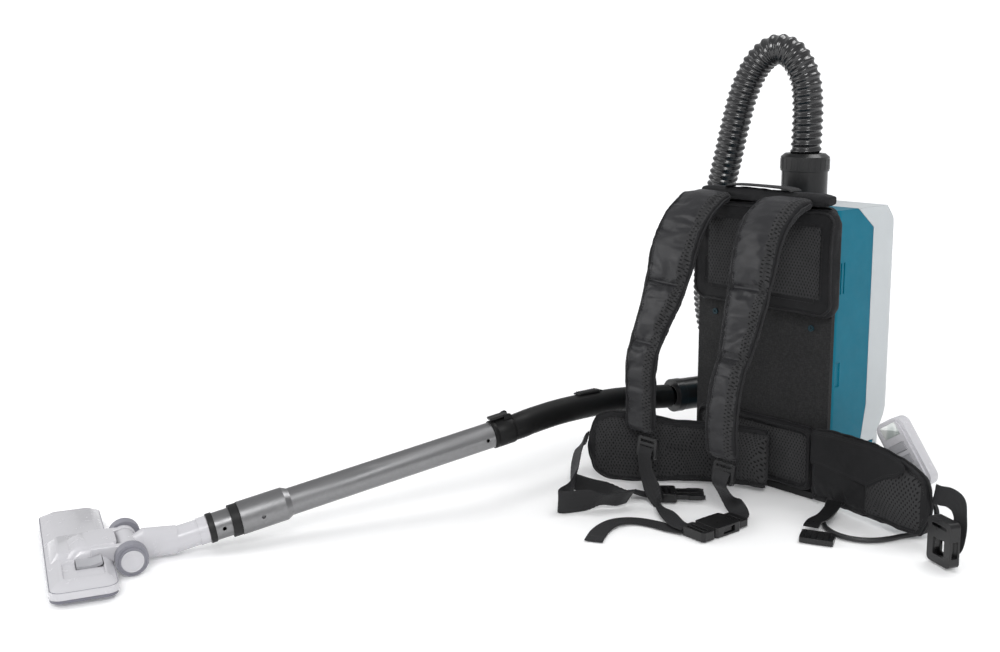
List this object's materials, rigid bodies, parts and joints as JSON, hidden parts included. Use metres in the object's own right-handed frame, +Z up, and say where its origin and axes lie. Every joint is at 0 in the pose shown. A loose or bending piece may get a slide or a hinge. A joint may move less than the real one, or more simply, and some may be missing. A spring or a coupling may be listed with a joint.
{
  "type": "backpack vacuum cleaner",
  "caption": "Cordless backpack vacuum cleaner with padded harness, hip belt, remote, ribbed hose, curved handle, aluminium wand and swivelling floor nozzle.",
  "frame": {"origin": "centre of the foot's underside, on the floor, in the plane of the housing's front wall", "axes": "+Z up, +Y away from the wearer's back towards the rear cover, +X to the side of the belt that carries the remote controller; the wand runs forward along -Y"},
  "size_m": [0.8949, 1.147, 0.6698],
  "materials": {
    "housing_teal": "satin moulded",
    "cover_white": "satin moulded",
    "plate_black": "leather-grain moulded",
    "frame_black": "matte moulded",
    "buckle_black": "semi-gloss moulded",
    "release_red": "matte moulded",
    "mesh_pad": "spacer mesh",
    "harness_nylon": "satin nylon",
    "webbing": "woven",
    "bag_fleece": "non-woven",
    "collar_card": "matte",
    "filter_pleats": "pleated",
    "motor_copper": "wound",
    "board_green": "solder mask",
    "pipe_aluminium": "satin anodised",
    "hose_black": "glossy ribbed",
    "port_black": "semi-gloss",
    "cable_rubber": "smooth",
    "window_lens": "clear",
    "nozzle_white": "glossy",
    "nozzle_grey": "matte",
    "wheel_grey": "matte"
  },
  "bodies": {
    "pack": {"front_housing": "housing_teal", "plate_screws": "housing_teal", "controller_shell": "cover_white", "back_plate": "plate_black", "base_foot": "frame_black", "motor_housing": "frame_black", "exhaust_grille": "frame_black", "pipe_ring": "frame_black", "strap_adjusters": "buckle_black", "chest_buckle_socket": "buckle_black", "chest_buckle_tongue": "buckle_black", "waist_buckle_tongue": "buckle_black", "waist_buckle_socket": "buckle_black", "adjuster_tail": "buckle_black", "upper_back_pad": "mesh_pad", "lumbar_pad": "mesh_pad", "left_wing": "mesh_pad", "right_wing": "mesh_pad", "strap_left": "harness_nylon", "strap_right": "harness_nylon", "top_yoke": "harness_nylon", "wing_flap": "harness_nylon", "carry_handle": "webbing", "web_left": "webbing", "web_right": "webbing", "web_tail": "webbing", "waist_web_left": "webbing", "waist_web_right": "webbing", "dust_bag": "bag_fleece", "bag_collar": "collar_card", "filter_cassette": "filter_pleats", "motor_core": "motor_copper", "battery_terminals": "motor_copper", "control_board": "board_green", "outer_pipe": "pipe_aluminium", "hose": "hose_black", "inlet_port": "port_black", "handle_tube": "port_black", "control_cable": "cable_rubber", "controller_window": "window_lens"},
    "cover": {"rear_cover": "cover_white"},
    "cover_catch": {"cover_latch": "frame_black"},
    "fan": {"impeller": "pipe_aluminium"},
    "battery_a": {"battery_left": "frame_black"},
    "battery_b": {"battery_right": "frame_black"},
    "release_a": {"battery_button_left": "release_red"},
    "release_b": {"battery_button_right": "release_red"},
    "power_key": {"controller_button": "frame_black"},
    "mode_key": {"controller_rocker": "frame_black"},
    "cuff": {"hose_cuff": "port_black"},
    "handle_swivel": {"handle_cuff": "port_black"},
    "air_slider": {"handle_slider": "frame_black"},
    "pipe_catch": {"handle_latch": "frame_black"},
    "nozzle_spigot": {"spigot": "pipe_aluminium"},
    "neck": {"neck_elbow": "nozzle_white"},
    "nozzle": {"nozzle_shell": "nozzle_white", "nozzle_sole": "nozzle_grey"},
    "floor_rocker": {"nozzle_rocker": "nozzle_grey"},
    "wheel_a": {"nozzle_wheel_left": "wheel_grey"},
    "wheel_b": {"nozzle_wheel_right": "wheel_grey"}
  },
  "joints": [
    {"name": "cover_hinge", "type": "hinge", "parent": "pack", "child": "cover", "pos_m": [0, 0.128, 0.057], "axis": [-1, 0, 0], "range_deg": [0, 55]},
    {"name": "cover_latch_hinge", "type": "hinge", "parent": "cover", "child": "cover_catch", "pos_m": [0, 0.166, 0.386], "axis": [-1, 0, 0], "range_deg": [0, 70]},
    {"name": "fan_spin", "type": "hinge", "parent": "pack", "child": "fan", "pos_m": [0, 0.045, 0.11], "axis": [0, 0, 1], "continuous": true},
    {"name": "battery_left_slide", "type": "slide", "parent": "pack", "child": "battery_a", "axis": [0, 1, 0], "range_m": [0, 0.125]},
    {"name": "battery_left_button", "type": "slide", "parent": "battery_a", "child": "release_a", "axis": [0, -1, 0], "range_m": [0, 0.003], "stiffness_N_per_m": 400},
    {"name": "battery_right_slide", "type": "slide", "parent": "pack", "child": "battery_b", "axis": [0, 1, 0], "range_m": [0, 0.125]},
    {"name": "battery_right_button", "type": "slide", "parent": "battery_b", "child": "release_b", "axis": [0, -1, 0], "range_m": [0, 0.003], "stiffness_N_per_m": 400},
    {"name": "power_button", "type": "slide", "parent": "pack", "child": "power_key", "axis": [0, 1, 0], "range_m": [0, 0.002], "stiffness_N_per_m": 300},
    {"name": "mode_button", "type": "slide", "parent": "pack", "child": "mode_key", "axis": [0, 1, 0], "range_m": [0, 0.002], "stiffness_N_per_m": 300},
    {"name": "hose_cuff_swivel", "type": "hinge", "parent": "pack", "child": "cuff", "pos_m": [0, 0.087, 0.45], "axis": [0, 0, 1], "continuous": true},
    {"name": "handle_cuff_swivel", "type": "hinge", "parent": "pack", "child": "handle_swivel", "pos_m": [-0.176, 0, 0.097], "axis": [0.2588, 0.9659, 0], "continuous": true},
    {"name": "air_slider_slide", "type": "slide", "parent": "pack", "child": "air_slider", "axis": [-0.0697, 0.9962, -0.0523], "range_m": [0, 0.012]},
    {"name": "pipe_catch_hinge", "type": "hinge", "parent": "pack", "child": "pipe_catch", "pos_m": [-0.17892, -0.35821, 0.13308], "axis": [-0.9505, 0.3107, 0], "range_deg": [0, 25]},
    {"name": "nozzle_pull_off", "type": "slide", "parent": "pack", "child": "nozzle_spigot", "axis": [-0.305, -0.933, -0.191], "range_m": [0, 0.06]},
    {"name": "neck_swivel", "type": "hinge", "parent": "nozzle_spigot", "child": "neck", "pos_m": [-0.3093, -0.7571, 0.028], "axis": [0.305, 0.933, 0.191], "range_deg": [-90, 90]},
    {"name": "nozzle_pitch", "type": "hinge", "parent": "neck", "child": "nozzle", "pos_m": [-0.34115, -0.85341, 0.022], "axis": [0.9494, -0.314, 0], "range_deg": [-30, 35]},
    {"name": "floor_rocker_hinge", "type": "hinge", "parent": "nozzle", "child": "floor_rocker", "pos_m": [-0.31106, -0.91402, 0.0226], "axis": [-0.9494, 0.314, 0], "range_deg": [0, 9]},
    {"name": "wheel_left_spin", "type": "hinge", "parent": "nozzle", "child": "wheel_a", "pos_m": [-0.37319, -0.84071, 0.0204], "axis": [0.9494, -0.314, 0], "continuous": true},
    {"name": "wheel_right_spin", "type": "hinge", "parent": "nozzle", "child": "wheel_b", "pos_m": [-0.30787, -0.86231, 0.0204], "axis": [0.9494, -0.314, 0], "continuous": true}
  ]
}
